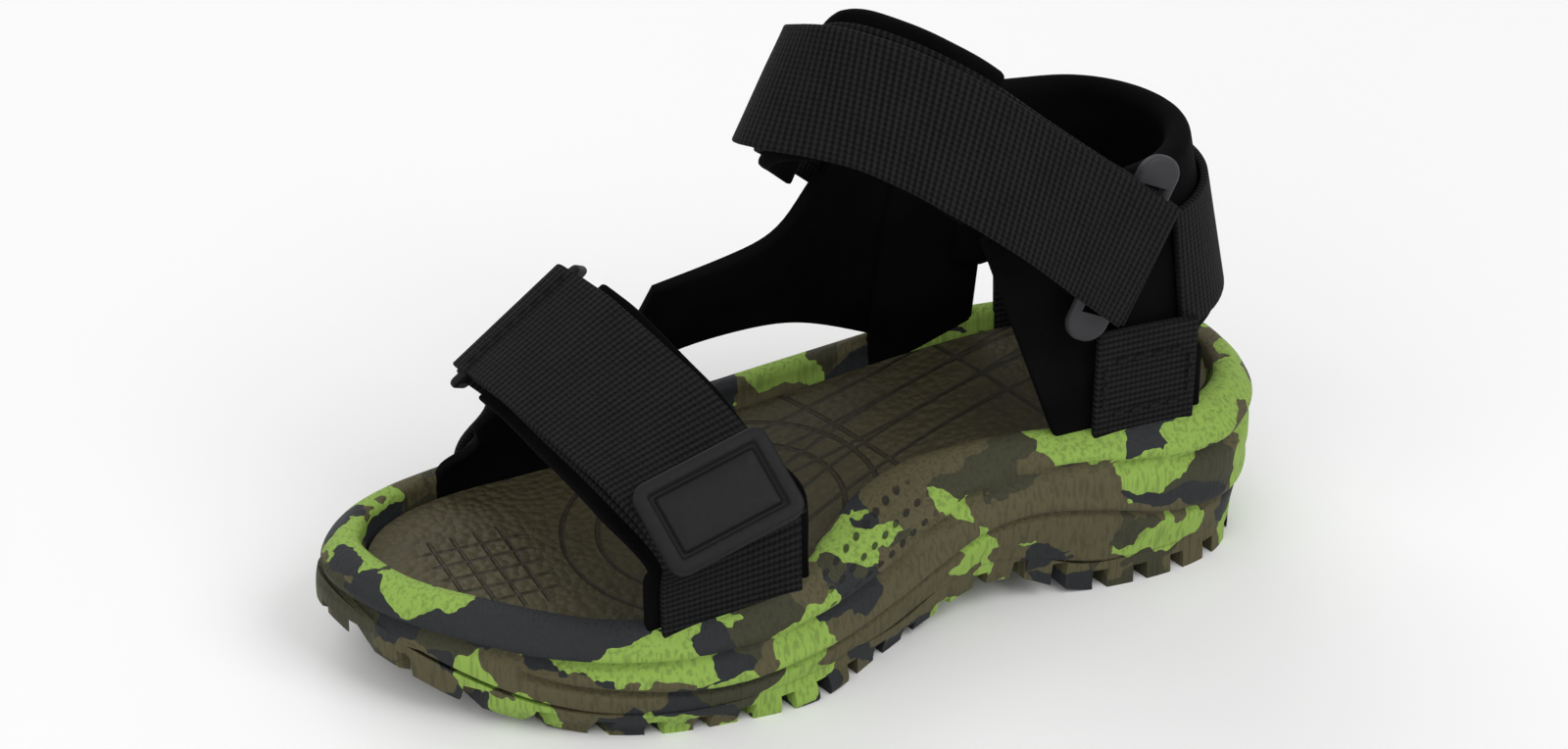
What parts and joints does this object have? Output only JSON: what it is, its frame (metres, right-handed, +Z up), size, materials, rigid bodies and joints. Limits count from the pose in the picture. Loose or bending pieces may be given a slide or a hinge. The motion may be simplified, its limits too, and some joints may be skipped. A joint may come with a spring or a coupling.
{
  "type": "strappy sport sandal",
  "caption": "Left sport sandal: lugged two-layer foam sole, footbed, webbing toe and ankle straps that open on hook-and-loop flaps, padded heel collar and strap rings.",
  "frame": {"origin": "on the ground, midway along the sole and on its middle line", "axes": "+X towards the toe, +Y towards the wearer's left (the outer side), +Z up"},
  "size_m": [0.1661, 0.0736, 0.1094],
  "materials": {
    "outsole_rubber": "matte moulded",
    "camo_foam": "matte moulded foam",
    "footbed_foam": "pebbled matte",
    "black_webbing": "ribbed weave",
    "black_neoprene": "smooth knit face",
    "hook_tape": "hooked tape",
    "loop_tape": "looped tape",
    "ring_plastic": "moulded",
    "badge_rubber": "moulded",
    "thread": "thread"
  },
  "bodies": {
    "sandal": {"outsole": "outsole_rubber", "midsole": "camo_foam", "footbed": "footbed_foam", "toe_strap_base": "black_webbing", "toe_strap_loop_patch": "loop_tape", "toe_strap_lining": "black_neoprene", "toe_ring": "ring_plastic", "toe_inner_anchor": "black_webbing", "toe_anchor_lining": "black_neoprene", "ankle_ring": "ring_plastic", "ankle_strap_base": "black_webbing", "ankle_ring_loop": "black_webbing", "ring_tab": "black_webbing", "ankle_strap_wrap": "black_webbing", "ankle_loop_patch": "loop_tape", "instep_lining": "black_neoprene", "heel_collar": "black_neoprene", "heel_strap": "black_webbing", "quarter_panel": "black_neoprene", "quarter_anchor": "black_webbing", "inner_anchor": "black_webbing", "arch_panel": "black_neoprene", "anchor_stitching": "thread", "toe_fold_stitching": "thread"},
    "toe_flap": {"toe_strap_flap": "black_webbing", "toe_strap_hook_patch": "hook_tape", "badge_frame": "badge_rubber", "badge_inlay": "badge_rubber"},
    "ankle_flap": {"ankle_strap_flap": "black_webbing", "ankle_hook_patch": "hook_tape"}
  },
  "joints": [
    {"name": "toe_flap_fold", "type": "hinge", "parent": "sandal", "child": "toe_flap", "pos_m": [0.04256, -0.01898, 0.05193], "axis": [0.7823, -0.0654, -0.6195], "range_deg": [0, 150]},
    {"name": "ankle_flap_fold", "type": "hinge", "parent": "sandal", "child": "ankle_flap", "pos_m": [-0.00101, -0.0156, 0.08881], "axis": [0.3547, -0.0935, -0.9303], "range_deg": [0, 110]}
  ]
}
